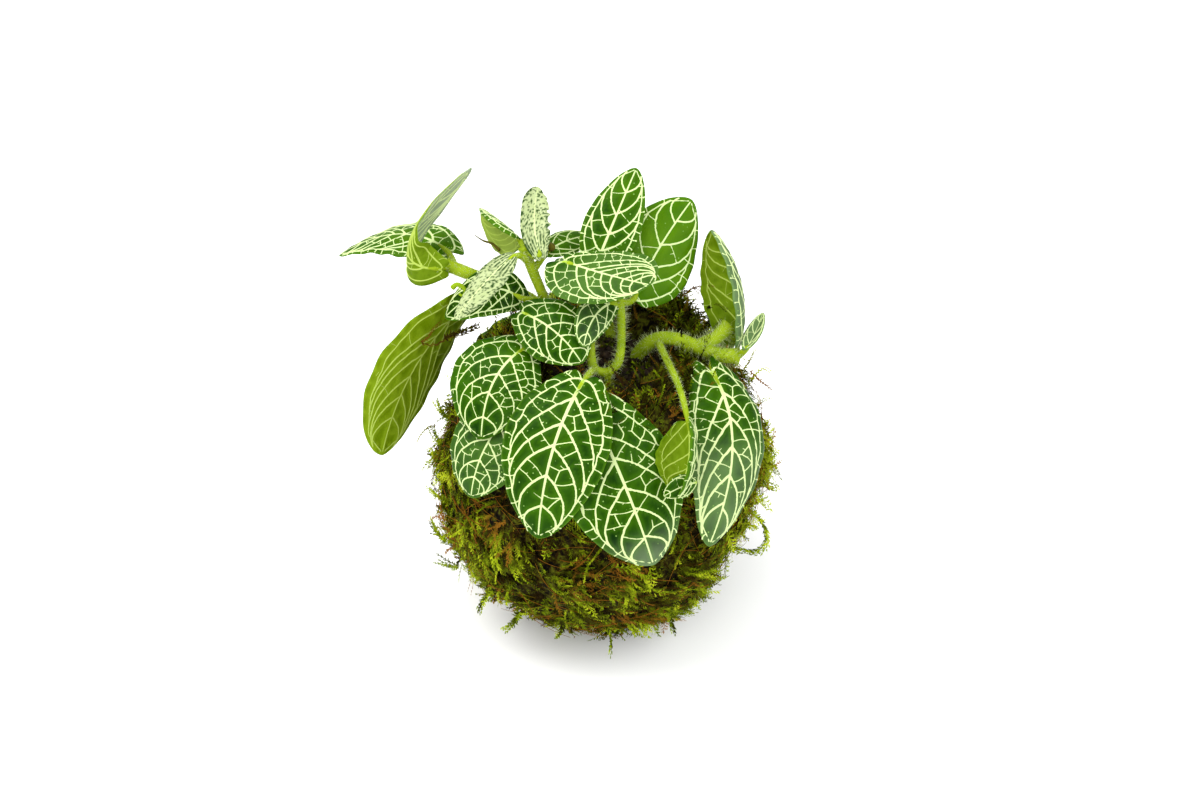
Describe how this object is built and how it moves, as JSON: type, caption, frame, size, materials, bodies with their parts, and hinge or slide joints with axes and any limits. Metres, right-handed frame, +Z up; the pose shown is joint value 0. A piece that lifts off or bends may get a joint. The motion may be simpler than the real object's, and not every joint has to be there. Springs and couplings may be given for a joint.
{
  "type": "kokedama moss ball plant",
  "caption": "Nerve plant with white-veined leaves growing out of a ball of soil wrapped in living moss, set down on its flattened foot as a table plant",
  "frame": {"origin": "centre of the flat foot under the moss ball, on the surface that the ball stands on", "axes": "+Z up, -Y the front of the plant, where the largest leaves hang over the moss, +X to the right seen from the front"},
  "size_m": [0.1272, 0.1031, 0.1305],
  "materials": {
    "moss": "matte",
    "soil": "matte",
    "stem": "satin",
    "leaf": "satin",
    "young_leaf": "satin"
  },
  "bodies": {
    "root": {"moss_coat": "moss", "soil_ball": "soil", "stem_centre": "stem", "stem_shoot": "stem", "stem_left": "stem", "stem_right": "stem", "stem_back": "stem", "leaf_front_left": "leaf", "leaf_front_right": "leaf", "leaf_left_upper": "leaf", "leaf_left_lower": "leaf", "leaf_middle_shaded": "leaf", "leaf_left_shaded": "leaf", "leaf_young_low": "young_leaf", "leaf_young_upright": "young_leaf", "leaf_top_left": "leaf", "leaf_top_small": "leaf", "leaf_top_middle": "leaf", "leaf_top_upright": "leaf", "leaf_right_broad": "leaf", "leaf_middle_low": "leaf", "leaf_right_back": "leaf", "leaf_right_small": "leaf", "leaf_front_far_right": "leaf", "leaf_folded": "leaf", "leaf_far_left_flat": "leaf", "leaf_far_left_cupped": "leaf", "leaf_left_hanging": "leaf", "leaf_back_upper": "leaf", "leaf_back_middle": "leaf", "leaf_back_right": "leaf", "leaf_back_left": "leaf"}
  },
  "joints": []
}
